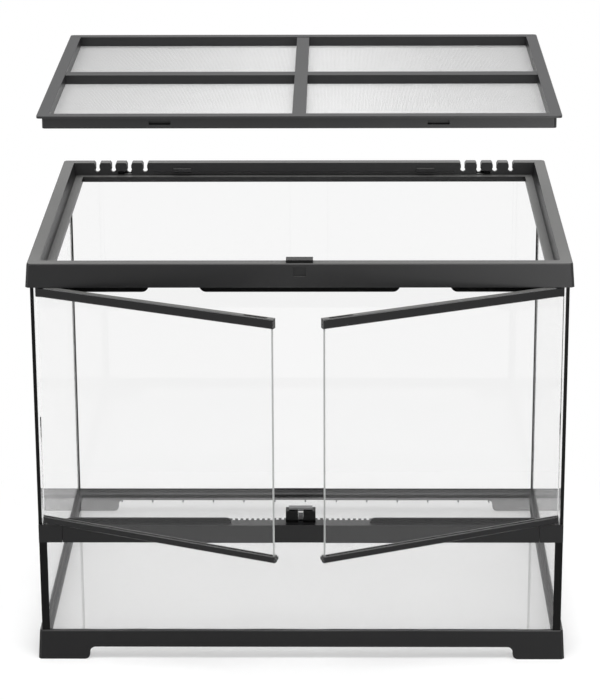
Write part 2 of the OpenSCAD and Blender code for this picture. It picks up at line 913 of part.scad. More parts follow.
// Screen cover
module lid_frame() color(dark) {
    slot_w = hook_w + 2;
    skirt_w = lid_w - 2 * cover_inset;
    skirt_d = lid_d - 2 * cover_inset;
    rim_in_w = lid_w - 2 * cover_rim;
    rim_in_d = lid_d - 2 * cover_rim;
    difference() {
        union() {
            round_slab(lid_w, lid_d, cover_corner, lid_z1 - cover_t, lid_z1);
            round_slab(skirt_w, skirt_d, cover_corner, lid_z0, lid_z1);
        }
        // hollow between the skirt, the mesh's seat and the blocks behind the slots
        difference() {
            slab(skirt_w - 2 * cover_wall, skirt_d - 2 * cover_wall, lid_z0 - 1, lid_z1 - cover_t);
            funnel_slab(rim_in_w + 2 * mesh_lap, rim_in_d + 2 * mesh_lap, mesh_top, lid_z1, cover_lean);
            slot_blocks(slot_w + 2 * cover_wall, slot_room, lid_z0 - 2, lid_z1);
        }
        slab(lid_in_w, lid_in_d, lid_z0 - 1, lid_z1);
        funnel_slab(rim_in_w, rim_in_d, mesh_top, lid_z1, cover_lean);
        // slots that clear the rear hooks
        slot_blocks(slot_w, slot_room - slot_wall, lid_z0 + hook_z - touch,
            lid_z0 + hook_z + hook_t + touch);
    }
}

module lid_long_bar() color(dark)
    rotate([90, 0, 0])
        linear_extrude(long_bar_w, center = true)
            polygon([
                [-lid_in_w / 2, mesh_top], [lid_in_w / 2, mesh_top],
                [lid_in_w / 2 + bar_lean, bar_top], [-lid_in_w / 2 - bar_lean, bar_top]
            ]);

module short_bar()
    rotate([90, 0, 90])
        linear_extrude(short_bar_w, center = true)
            polygon([
                [long_bar_w / 2, mesh_top], [lid_in_d / 2, mesh_top],
                [lid_in_d / 2 + bar_lean, bar_top], [long_bar_w / 2, bar_top]
            ]);

module lid_short_bars() color(dark) {
    short_bar();
    mirror([0, 1, 0])
        short_bar();
}

// One layer of the mesh: strips along X, from the one under the bar to those in the frame
module mesh_layer(length, reach, bar_w, n, z0) {
    z1 = z0 + mesh_t / 2;
    pitch = (reach - bar_w / 2) / n;
    edge_w = mesh_lap + mesh_web / 2;
    slab(length, bar_w + mesh_web, z0, z1);
    for (side = [-1, 1]) {
        for (i = [1 : n - 1])
            translate([0, side * (bar_w / 2 + i * pitch), 0])
                slab(length, mesh_web, z0, z1);
        translate([0, side * (reach + mesh_lap - edge_w / 2), 0])
            slab(length, edge_w, z0, z1);
    }
}

module lid_mesh() color(grey)
    mesh_layer(lid_in_w + 2 * mesh_lap, lid_in_d / 2, long_bar_w, mesh_rows, mesh_top - mesh_t);

module lid_mesh_cross() color(grey)
    rotate([0, 0, 90])
        mesh_layer(lid_in_d + 2 * mesh_lap, lid_in_w / 2, short_bar_w, mesh_cols,
            mesh_top - mesh_t / 2);

base_frame();
floor_glass();
back_glass();
left_glass();
right_glass();
front_window();
floor_seal();
rear_seal_left();
rear_seal_right();
front_seal_left();
front_seal_right();
top_frame();
cable_slide_left();
cable_slide_right();
lid_latch();
vent_profile();
vent_end_cap_left();
vent_end_cap_right();
bottom_stop_left();
bottom_stop_right();
top_stop_left();
top_stop_centre();
top_stop_right();
lock_body();
lock_lever();
lock_pin();
door_glass_left();
door_glass_right();
door_top_rail_left();
door_top_rail_right();
door_bottom_rail_left();
door_bottom_rail_right();
door_end_caps_left();
door_end_caps_right();
hinge_pins_left();
hinge_pins_right();
lid_frame();
lid_long_bar();
lid_short_bars();
lid_mesh();
lid_mesh_cross();
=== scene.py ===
"""Dresses the glass terrarium: panes, satin mouldings, silicone, wire screen and studio."""

from __future__ import annotations

import json
import logging
import math
from dataclasses import dataclass
from enum import Enum
from typing import Sequence

import bpy
from mathutils import Matrix, Vector, noise

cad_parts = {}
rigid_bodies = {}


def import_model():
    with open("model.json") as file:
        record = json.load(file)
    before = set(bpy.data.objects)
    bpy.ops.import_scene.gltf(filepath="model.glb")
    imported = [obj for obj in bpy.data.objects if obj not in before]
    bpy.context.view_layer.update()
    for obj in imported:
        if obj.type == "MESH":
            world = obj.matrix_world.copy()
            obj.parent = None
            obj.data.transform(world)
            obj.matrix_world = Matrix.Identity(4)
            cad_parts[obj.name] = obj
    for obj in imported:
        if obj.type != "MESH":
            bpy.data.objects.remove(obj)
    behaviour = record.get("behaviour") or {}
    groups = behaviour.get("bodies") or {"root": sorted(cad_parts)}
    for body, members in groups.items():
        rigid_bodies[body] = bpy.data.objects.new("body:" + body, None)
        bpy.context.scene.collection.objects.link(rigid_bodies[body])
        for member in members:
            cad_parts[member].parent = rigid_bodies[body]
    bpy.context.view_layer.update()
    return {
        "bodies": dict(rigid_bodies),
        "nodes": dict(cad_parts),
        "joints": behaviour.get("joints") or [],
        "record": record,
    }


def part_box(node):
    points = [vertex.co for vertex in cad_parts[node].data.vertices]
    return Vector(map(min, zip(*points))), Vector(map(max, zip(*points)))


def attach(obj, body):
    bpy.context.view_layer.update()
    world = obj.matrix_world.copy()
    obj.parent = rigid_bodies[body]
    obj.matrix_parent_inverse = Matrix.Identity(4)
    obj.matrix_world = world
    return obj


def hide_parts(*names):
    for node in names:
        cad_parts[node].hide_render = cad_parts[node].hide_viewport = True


LOG = logging.getLogger("terrarium")
MM = 0.001
CLEAR = "#FDFDFD"


class Body(str, Enum):
    """The bodies that the pieces ride on."""

    TANK = "tank"
    COVER = "screen_cover"


def srgb(code: str) -> tuple[float, float, float, float]:
    """Turns an sRGB hex colour to linear.

    Args:
        code: six hex digits, with or without a leading mark.

    Returns:
        The linear colour, opaque.
    """
    digits = code.lstrip("#")
    values = [int(digits[i : i + 2], 16) / 255 for i in (0, 2, 4)]
    linear = [v / 12.92 if v <= 0.04045 else ((v + 0.055) / 1.055) ** 2.4 for v in values]
    return (linear[0], linear[1], linear[2], 1.0)


def add_node(
    tree: bpy.types.NodeTree,
    kind: str,
    settings: dict[str, object] | None = None,
    **links: object,
) -> bpy.types.Node:
    """Adds a node with its settings and links.

    Args:
        tree: the tree that takes the node.
        kind: the node's type.
        settings: attributes of the node.
        links: a socket or a value for each input. An input is named with underscores
            for spaces, or by the letter i and its number.

    Returns:
        The new node.
    """
    node = tree.nodes.new(kind)
    for key, value in (settings or {}).items():
        setattr(node, key, value)
    for key, value in links.items():
        number = key[1:]
        label = int(number) if number.isdigit() else key.replace("_", " ")
        socket = node.inputs[label]
        if isinstance(value, bpy.types.NodeSocket):
            tree.links.new(value, socket)
        else:
            socket.default_value = value
    return node


def maths(
    tree: bpy.types.NodeTree, operation: str, first: object, second: object = 0.0
) -> bpy.types.NodeSocket:
    """Works one sum.

    Args:
        tree: the tree that takes the node.
        operation: which sum it is.
        first: a value, or the socket that gives it.
        second: the other value, or its socket.

    Returns:
        The socket with the result.
    """
    return add_node(
        tree, "ShaderNodeMath", {"operation": operation}, i0=first, i1=second
    ).outputs[0]


def blend(
    tree: bpy.types.NodeTree, share: object, first: object, second: object, mode: str = "MIX"
) -> bpy.types.NodeSocket:
    """Mixes two colours.

    Args:
        tree: the tree that takes the node.
        share: how much of the second colour there is.
        first: a colour, or the socket that gives it.
        second: the other colour, or its socket.
        mode: how the second colour acts on the first.

    Returns:
        The socket with the mixed colour.
    """
    return add_node(
        tree,
        "ShaderNodeMix",
        {"data_type": "RGBA", "blend_type": mode},
        Factor=share,
        i6=first,
        i7=second,
    ).outputs[2]


def new_material(name: str) -> tuple[bpy.types.Material, bpy.types.NodeTree]:
    """Makes an empty node material.

    Args:
        name: what the material is.

    Returns:
        The material and its tree.
    """
    material = bpy.data.materials.new(name)
    material.use_nodes = True
    material.node_tree.nodes.clear()
    return material, material.node_tree


def dress(nodes: Sequence[bpy.types.Object], material: bpy.types.Material) -> None:
    """Gives one material to whole objects.

    Args:
        nodes: the objects.
        material: the material for their slots.
    """
    for obj in nodes:
        if not obj.material_slots:
            obj.data.materials.append(material)
        for place in obj.material_slots:
            place.material = material


@dataclass(frozen=True)
class MouldedPlastic:
    """Satin ABS from a spark-eroded mould: a fine even grain with soft edges.

    The grain spreads the highlight, so level faces go grey at a low angle.
    Upright faces slide out of the mould and have a roughness of their own.
    Narrow recesses get painted shade: their colour is darker, as little light gets in
    and out. Faces that look up are paler: a film of dust, and a painted sheen of top light.
    """

    name: str
    colour: str
    roughness: float = 0.42
    wall_roughness: float = 0.36
    grain_mm: float = 0.5
    grain_depth_mm: float = 0.012
    grain_strength: float = 0.5
    cloud_mm: float = 90.0
    cloud_tones: tuple[float, float] = (0.82, 1.2)
    edge_mm: float = 0.3
    specular: float = 0.5
    ior: float = 1.5
    recess_mm: float = 9.0
    dust_and_sheen: float = 0.0
    dust_and_sheen_colour: str = "#8A8A88"
    dust_and_sheen_from: float = 0.8
    wall_to_level: tuple[float, float] = (0.3, 0.9)

    def material(self) -> bpy.types.Material:
        """Makes the finish as a node material.

        Returns:
            The material.
        """
        material, tree = new_material(self.name)
        spots = add_node(tree, "ShaderNodeTexCoord").outputs
        place = spots["Object"]
        # wide, faint clouds: handling marks and uneven shrinkage of the moulding
        cloud = add_node(
            tree, "ShaderNodeTexNoise", Vector=place, Scale=1 / (self.cloud_mm * MM), Detail=3.0
        ).outputs["Fac"]
        base = srgb(self.colour)[:3]
        dark, light = (tuple(c * tone for c in base) + (1.0,) for tone in self.cloud_tones)
        shade = blend(tree, cloud, dark, light)
        # dust, and a painted sheen of the light from above, where a face looks up
        upward = add_node(tree, "ShaderNodeSeparateXYZ", Vector=spots["Normal"]).outputs["Z"]
        dust_and_sheen_mask = add_node(
            tree, "ShaderNodeMapRange", Value=upward, From_Min=self.dust_and_sheen_from, To_Max=self.dust_and_sheen
        ).outputs["Result"]
        shade = blend(tree, dust_and_sheen_mask, shade, srgb(self.dust_and_sheen_colour))
        # painted shade: narrow recesses are darkened in the colour, as they take less light
        painted_recess_shade = add_node(
            tree,
            "ShaderNodeAmbientOcclusion",
            {"samples": 4, "only_local": True},
            Color=shade,
            Distance=self.recess_mm * MM,
        )
        shade = blend(tree, 1.0, shade, painted_recess_shade.outputs["AO"], "MULTIPLY")
        # upright faces have their own roughness, level ones another
        level = maths(tree, "ABSOLUTE", upward)
        rough = add_node(
            tree,
            "ShaderNodeMapRange",
            Value=level,
            From_Min=self.wall_to_level[0],
            From_Max=self.wall_to_level[1],
            To_Min=self.wall_roughness,
            To_Max=self.roughness,
        ).outputs["Result"]
        # moulded edges are slightly round and catch a line of light
        edge = add_node(
            tree, "ShaderNodeBevel", {"samples": 4}, Radius=self.edge_mm * MM
        ).outputs["Normal"]
        grain = add_node(
            tree, "ShaderNodeTexNoise", Vector=place, Scale=1 / (self.grain_mm * MM), Detail=1.0
        ).outputs["Fac"]
        normal = add_node(
            tree,
            "ShaderNodeBump",
            Height=grain,
            Strength=self.grain_strength,
            Distance=self.grain_depth_mm * MM,
            Normal=edge,
        ).outputs["Normal"]
        shader = add_node(
            tree,
            "ShaderNodeBsdfPrincipled",
            Base_Color=shade,
            Roughness=rough,
            Normal=normal,
            IOR=self.ior,
        )
        shader.inputs["Specular IOR Level"].default_value = self.specular
        add_node(tree, "ShaderNodeOutputMaterial", Surface=shader.outputs[0])
        return material


@dataclass(frozen=True)
class FloatGlass:
    """Clear float glass: nearly neutral, with a ground edge that looks pale.

    Light that only passes through to cast a shadow isn't bent, so a pane's
    shadow stays faint, as a real one does.
    """

    name: str
    colour: str
    shadow: str = "#E2E2E2"
    ior: float = 1.35
    edge: str = "#A9ABAA"
    edge_roughness: float = 0.35
    edge_mm: float = 0.4

    def material(
        self, along: Vector | None = None, reach: float = 0.0
    ) -> bpy.types.Material:
        """Makes the finish as a node material.

        Args:
            along: the direction, in the pane's own frame, that its ground edge faces.
            reach: how far along it the edge stands.

        Returns:
            The material, with a pale ground edge where a direction is given.
        """
        material, tree = new_material(self.name)
        shader = add_node(
            tree,
            "ShaderNodeBsdfPrincipled",
            Base_Color=srgb(self.colour),
            Roughness=0.0,
            IOR=self.ior,
        )
        shader.inputs["Transmission Weight"].default_value = 1.0
        pane = shader.outputs[0]
        if along is not None:
            place = add_node(tree, "ShaderNodeTexCoord").outputs["Object"]
            spot = add_node(
                tree, "ShaderNodeVectorMath", {"operation": "DOT_PRODUCT"}, i0=place, i1=along
            ).outputs["Value"]
            at_edge = maths(tree, "GREATER_THAN", spot, reach - self.edge_mm * MM)
            ground = add_node(
                tree,
                "ShaderNodeBsdfPrincipled",
                Base_Color=srgb(self.edge),
                Roughness=self.edge_roughness,
            ).outputs[0]
            pane = add_node(
                tree, "ShaderNodeMixShader", Fac=at_edge, i1=pane, i2=ground
            ).outputs[0]
        clear = add_node(tree, "ShaderNodeBsdfTransparent", Color=srgb(self.shadow))
        path = add_node(tree, "ShaderNodeLightPath")
        mix = add_node(
            tree,
            "ShaderNodeMixShader",
            Fac=path.outputs["Is Shadow Ray"],
            i1=pane,
            i2=clear.outputs[0],
        )
        add_node(tree, "ShaderNodeOutputMaterial", Surface=mix.outputs[0])
        return material


@dataclass(frozen=True)
class Silicone:
    """Black silicone drawn with a tool: satin, with slow waves along the bead."""

    name: str
    colour: str
    roughness: float = 0.32
    specular: float = 0.15
    ior: float = 1.41
    wave_mm: float = 6.0
    wave_depth_mm: float = 0.15
    wave_strength: float = 0.6
    spread: tuple[float, float] = (-0.06, 0.08)

    def material(self) -> bpy.types.Material:
        """Makes the finish as a node material.

        Returns:
            The material.
        """
        material, tree = new_material(self.name)
        place = add_node(tree, "ShaderNodeTexCoord").outputs["Object"]
        wave = add_node(
            tree, "ShaderNodeTexNoise", Vector=place, Scale=1 / (self.wave_mm * MM), Detail=2.0
        ).outputs["Fac"]
        normal = add_node(
            tree,
            "ShaderNodeBump",
            Height=wave,
            Strength=self.wave_strength,
            Distance=self.wave_depth_mm * MM,
        ).outputs["Normal"]
        rough = add_node(
            tree,
            "ShaderNodeMapRange",
            Value=wave,
            To_Min=self.roughness + self.spread[0],
            To_Max=self.roughness + self.spread[1],
        ).outputs["Result"]
        shader = add_node(
            tree,
            "ShaderNodeBsdfPrincipled",
            Base_Color=srgb(self.colour),
            Roughness=rough,
            Normal=normal,
            IOR=self.ior,
        )
        shader.inputs["Specular IOR Level"].default_value = self.specular
        add_node(tree, "ShaderNodeOutputMaterial", Surface=shader.outputs[0])
        return material


@dataclass(frozen=True)
class DrawnMetal:
    """Bright drawn wire or pin stock: metal with fine streaks along its length."""

    name: str
    colour: str
    roughness: float = 0.3
    streak_mm: tuple[float, float, float] = (0.2, 0.2, 6.0)
    spread: tuple[float, float] = (-0.08, 0.12)

    def material(self) -> bpy.types.Material:
        """Makes the finish as a node material.

        Returns:
            The material.
        """
        material, tree = new_material(self.name)
        place = add_node(tree, "ShaderNodeTexCoord").outputs["Object"]
        scaled = add_node(
            tree,
            "ShaderNodeMapping",
            Vector=place,
            Scale=tuple(1 / (s * MM) for s in self.streak_mm),
        ).outputs[0]
        streak = add_node(
            tree, "ShaderNodeTexNoise", Vector=scaled, Scale=1.0, Detail=2.0
        ).outputs["Fac"]
        rough = add_node(
            tree,
            "ShaderNodeMapRange",
            Value=streak,
            To_Min=self.roughness + self.spread[0],
            To_Max=self.roughness + self.spread[1],
        ).outputs["Result"]
        shader = add_node(
            tree,
            "ShaderNodeBsdfPrincipled",
            Base_Color=srgb(self.colour),
            Roughness=rough,
            Metallic=1.0,
        )
        add_node(tree, "ShaderNodeOutputMaterial", Surface=shader.outputs[0])
        return material


def mesh_object(
    name: str,
    points: Sequence[Vector | tuple[float, float, float]],
    faces: Sequence[Sequence[int]],
    material: bpy.types.Material,
    smooth: bool = False,
) -> bpy.types.Object:
    """Makes an object from points and faces.

    Args:
        name: the piece's name.
        points: the vertices, in metres.
        faces: the corners of each face.
        material: its only material.
        smooth: whether its faces are shaded smooth.

    Returns:
        The object, linked to the scene.
    """
    mesh = bpy.data.meshes.new(name)
    mesh.from_pydata([tuple(p) for p in points], [], [tuple(f) for f in faces])
    mesh.validate()
    if smooth:
        mesh.shade_smooth()
    mesh.materials.append(material)
    obj = bpy.data.objects.new(name, mesh)
    bpy.context.scene.collection.objects.link(obj)
    return obj


@dataclass
class Tank:
    """The fixed panes and mouldings, and the silicone between them."""

    bead_leg: float = 4.5 * MM
    bead_steps: int = 7
    bead_pitch: float = 12 * MM
    bead_wave: float = 0.07
    wave_length: float = 35 * MM
    corner_leg: float = 1.7 * MM
    corner_joint: float = 1.5 * MM
    floor_seed: float = 1.0
    corner_seed: float = 3.0

    def profile(self, leg: float, rise: float) -> list[tuple[float, float]]:
        """Gives a hollow fillet's section.

        Args:
            leg: its reach along the floor.
            rise: its reach up the pane.

        Returns:
            Distances from the pane and the floor, from the pane's foot round.
        """
        points = [(0.0, 0.0)]
        for step in range(self.bead_steps + 1):
            angle = math.pi / 2 * step / self.bead_steps
            points.append((leg * (1 - math.sin(angle)), rise * (1 - math.cos(angle))))
        return points

    def skin(self, rings: int, count: int, closed: bool) -> list[tuple[int, ...]]:
        """Joins rings of points.

        Args:
            rings: how many rings there are.
            count: how many points each has.
            closed: whether the last joins the first.

        Returns:
            The faces.
        """
        faces: list[tuple[int, ...]] = []
        for ring in range(rings if closed else rings - 1):
            after = (ring + 1) % rings
            for i in range(count):
                j = (i + 1) % count
                faces.append(
                    (ring * count + i, ring * count + j, after * count + j, after * count + i)
                )
        if not closed:
            faces.append(tuple(reversed(range(count))))
            faces.append(tuple(range((rings - 1) * count, rings * count)))
        return faces

    def sway(self, spot: float, seed: float) -> float:
        """Gives how full a bead is at a spot along it.

        Args:
            spot: the distance along the bead.
            seed: which bead it is.

        Returns:
            A factor near 1, never above it.
        """
        wave = noise.noise(Vector((spot / self.wave_length, seed, 0.5)))
        return 1 - self.bead_wave * (1 + wave)

    def floor_bead(self, material: bpy.types.Material) -> bpy.types.Object:
        """Makes the fillet round the floor pane.

        Args:
            material: the silicone.

        Returns:
            The piece.
        """
        low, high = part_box("floor_seal")
        half_w, half_d, base = high.x, high.y, low.z
        section = self.profile(self.bead_leg, high.z - low.z)
        sides = [((-1, -1), (1, -1)), ((1, -1), (1, 1)), ((1, 1), (-1, 1)), ((-1, 1), (-1, -1))]
        points: list[Vector] = []
        rings = 0
        spot = 0.0
        for start, end in sides:
            length = 2 * (half_w if start[1] == end[1] else half_d)
            steps = round(length / self.bead_pitch)
            for step in range(steps):
                t = step / steps
                x = start[0] + (end[0] - start[0]) * t
                y = start[1] + (end[1] - start[1]) * t
                full = 1.0 if step == 0 else self.sway(spot, self.floor_seed)
                for reach, rise in section:
                    inset = reach * full
                    points.append(
                        Vector((x * (half_w - inset), y * (half_d - inset), base + rise * full))
                    )
                rings += 1
                spot += length / steps
        return mesh_object(
            "floor_bead", points, self.skin(rings, len(section), True), material, smooth=True
        )

    def corner_bead(self, side: int, material: bpy.types.Material) -> bpy.types.Object:
        """Makes the upright bead in a rear corner, with the joint behind it.

        Args:
            side: -1 for the left and 1 for the right.
            material: the silicone.

        Returns:
            The piece.
        """
        name = "rear_seal_left" if side < 0 else "rear_seal_right"
        low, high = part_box(name)
        outer = high.x if side > 0 else low.x
        back, inner_y = high.y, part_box("back_glass")[0].y
        joint_x = outer - side * self.corner_joint
        section = [(outer, back), (joint_x, back), (joint_x, inner_y)]
        arc = self.profile(self.corner_leg, self.corner_leg)[1:]
        points: list[Vector] = []
        rings = max(2, round((high.z - low.z) / self.bead_pitch))
        for ring in range(rings):
            z = low.z + (high.z - low.z) * ring / (rings - 1)
            full = self.sway(z, self.corner_seed + side)
            points += [Vector((x, y, z)) for x, y in section]
            for u, v in arc:
                points.append(Vector((outer - side * (u * full), inner_y - v * full, z)))
        count = len(section) + len(arc)
        faces = self.skin(rings, count, False)
        if side < 0:
            faces = [tuple(reversed(f)) for f in faces]
        return mesh_object(f"{name}_bead", points, faces, material, smooth=True)

    def build(self, frame: dict, looks: dict[str, bpy.types.Material]) -> None:
        """Dresses the tank.

        Args:
            frame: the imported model.
            looks: the materials by name.
        """
        nodes = frame["nodes"]
        for names, look in (
            (["left_glass", "right_glass", "front_window"], "glass"),
            (["back_glass"], "rear_glass"),
            (["floor_glass"], "floor_glass"),
            (["top_frame"], "frame"),
            (["base_frame"], "base"),
            (["vent_profile", "vent_end_cap_left", "vent_end_cap_right"], "vent"),
            (["front_seal_left", "front_seal_right"], "silicone"),
            (["bottom_stop_left", "bottom_stop_right"], "black"),
            (["top_stop_left", "top_stop_centre", "top_stop_right"], "black"),
            (["cable_slide_left", "cable_slide_right"], "black"),
            (["lock_body", "lid_latch"], "gloss"),
            (["lock_lever"], "lever"),
            (["lock_pin"], "steel"),
        ):
            dress([nodes[n] for n in names], looks[look])
        bead = self.floor_bead(looks["fillet"])
        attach(bead, Body.TANK.value)
        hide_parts("floor_seal")
        for side, name in ((-1, "rear_seal_left"), (1, "rear_seal_right")):
            bead = self.corner_bead(side, looks["silicone"])
            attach(bead, Body.TANK.value)
            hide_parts(name)
        LOG.info("tank: panes, mouldings and silicone beads")


@dataclass
class Doors:
    """The two doors: panes in rails, with their end caps and hinge pins."""

    open_angle: float = 24.0

    def free_edge(self, pane: bpy.types.Object, side: int) -> tuple[Vector, float]:
        """Finds the pane's edge away from its hinges.

        Args:
            pane: the door's pane.
            side: -1 for the left door and 1 for the right.

        Returns:
            The direction that the edge faces, and how far along it the edge stands.
        """
        turn = math.radians(self.open_angle)
        along = Vector((-side * math.cos(turn), -math.sin(turn), 0))
        return along, max(point.co.dot(along) for point in pane.data.vertices)

    def build(self, frame: dict, looks: dict[str, bpy.types.Material]) -> None:
        """Dresses both doors.

        Args:
            frame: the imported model.
            looks: the materials by name.
        """
        nodes = frame["nodes"]
        for side in ("left", "right"):
            pane = nodes[f"door_glass_{side}"]
            along, reach = self.free_edge(pane, -1 if side == "left" else 1)
            glass = FloatGlass(f"door_float_glass_{side}", CLEAR)
            dress([pane], glass.material(along, reach))
            edging = ("door_top_rail", "door_bottom_rail", "door_end_caps")
            dress([nodes[f"{name}_{side}"] for name in edging], looks["rail"])
            dress([nodes[f"hinge_pins_{side}"]], looks["steel"])
        LOG.info("doors: panes, rails, caps and pins")


@dataclass
class ScreenCover:
    """The lift-off cover: a moulded frame, two bars and fine wire mesh."""

    pitch: float = 1.6 * MM
    wire: float = 0.3 * MM
    sides: int = 6

    def wire_tree(self, material: bpy.types.Material) -> bpy.types.NodeTree:
        """Builds the node tree that lays out crossed wires.

        Args:
            material: the wire's metal.

        Returns:
            The tree, with inputs for the mesh's size, pitch and wire.
        """
        tree = bpy.data.node_groups.new("crossed_wires", "GeometryNodeTree")
        face = tree.interface
        face.new_socket("Geometry", in_out="INPUT", socket_type="NodeSocketGeometry")
        for label in ("Width", "Depth", "Level", "Pitch", "Wire"):
            face.new_socket(label, in_out="INPUT", socket_type="NodeSocketFloat")
        face.new_socket("Geometry", in_out="OUTPUT", socket_type="NodeSocketGeometry")
        given = add_node(tree, "NodeGroupInput").outputs
        join = tree.nodes.new("GeometryNodeJoinGeometry")
        radius = maths(tree, "MULTIPLY", given["Wire"], 0.5)
        for across in (False, True):
            span, row = ("Depth", "Width") if across else ("Width", "Depth")
            count = maths(tree, "FLOOR", maths(tree, "DIVIDE", given[row], given["Pitch"]))
            used = maths(tree, "MULTIPLY", count, given["Pitch"])
            start = maths(tree, "MULTIPLY", used, -0.5)
            # the two layers touch at the level, one above it and one below
            lift = maths(tree, "MULTIPLY", given["Wire"], 0.5 if across else -0.5)
            level = maths(tree, "ADD", given["Level"], lift)
            at = add_node(
                tree,
                "ShaderNodeCombineXYZ",
                X=start if across else 0.0,
                Y=0.0 if across else start,
                Z=level,
            ).outputs[0]
            stride = add_node(
                tree,
                "ShaderNodeCombineXYZ",
                X=given["Pitch"] if across else 0.0,
                Y=0.0 if across else given["Pitch"],
            ).outputs[0]
            line = add_node(
                tree,
                "GeometryNodeMeshLine",
                {"mode": "OFFSET"},
                Count=maths(tree, "ADD", count, 1.0),
                Start_Location=at,
                Offset=stride,
            ).outputs[0]
            rod = add_node(
                tree,
                "GeometryNodeMeshCylinder",
                {"fill_type": "NGON"},
                Vertices=self.sides,
                Side_Segments=1,
                Radius=radius,
                Depth=given[span],
            ).outputs[0]
            turned = add_node(
                tree,
                "GeometryNodeTransform",
                Geometry=rod,
                Rotation=(math.pi / 2, 0, 0) if across else (0, math.pi / 2, 0),
            ).outputs[0]
            placed = add_node(
                tree, "GeometryNodeInstanceOnPoints", Points=line, Instance=turned
            ).outputs[0]
            tree.links.new(placed, join.inputs[0])
        real = add_node(tree, "GeometryNodeRealizeInstances", Geometry=join.outputs[0]).outputs[0]
        done = add_node(
            tree, "GeometryNodeSetMaterial", Geometry=real, Material=material
        ).outputs[0]
        add_node(tree, "NodeGroupOutput", Geometry=done)
        return tree

    def screen(self, material: bpy.types.Material) -> bpy.types.Object:
        """Makes the wire mesh in the place of the two layers of strips.

        Args:
            material: the wire's metal.

        Returns:
            The piece.
        """
        low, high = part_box("lid_mesh")
        size = {
            "Width": high.x - low.x,
            "Depth": high.y - low.y,
            "Level": high.z,
            "Pitch": self.pitch,
            "Wire": self.wire,
        }
        tree = self.wire_tree(material)
        holder = mesh_object("screen_maker", [(0, 0, 0)], [], material)
        modifier = holder.modifiers.new("wires", "NODES")
        modifier.node_group = tree
        sockets = {
            item.name: item.identifier
            for item in tree.interface.items_tree
            if getattr(item, "in_out", "") == "INPUT"
        }
        for label, value in size.items():
            modifier[sockets[label]] = value
        scene = bpy.context.evaluated_depsgraph_get()
        mesh = bpy.data.meshes.new_from_object(holder.evaluated_get(scene))
        bpy.data.objects.remove(holder)
        mesh.name = "screen_wires"
        mesh.shade_smooth()
        piece = bpy.data.objects.new("screen_wires", mesh)
        bpy.context.scene.collection.objects.link(piece)
        return piece

    def build(self, frame: dict, looks: dict[str, bpy.types.Material]) -> None:
        """Dresses the cover.

        Args:
            frame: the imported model.
            looks: the materials by name.
        """
        nodes = frame["nodes"]
        dress([nodes[n] for n in ("lid_frame", "lid_long_bar", "lid_short_bars")], looks["cover"])
        piece = self.screen(looks["wire"])
        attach(piece, Body.COVER.value)
        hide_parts("lid_mesh", "lid_mesh_cross")
        LOG.info("cover: frame, bars and %d faces of wire", len(piece.data.polygons))


@dataclass(frozen=True)
class SoftBox:
    """A square studio light: where it stands, what it faces and how bright its face is."""

    name: str
    spot: tuple[float, float, float]
    aim: tuple[float, float, float]
    size: float
    glow: float

    def build(self) -> None:
        """Makes the light, unseen by the camera and through the glass."""
        data = bpy.data.lights.new(self.name, "AREA")
        data.shape = "SQUARE"
        data.size = self.size
        data.energy = self.glow * math.pi * self.size**2
        lamp = bpy.data.objects.new(self.name, data)
        lamp.location = self.spot
        turn = (Vector(self.aim) - Vector(self.spot)).to_track_quat("-Z", "Y")
        lamp.rotation_euler = turn.to_euler()
        lamp.visible_camera = False
        lamp.visible_transmission = False
        bpy.context.scene.collection.objects.link(lamp)


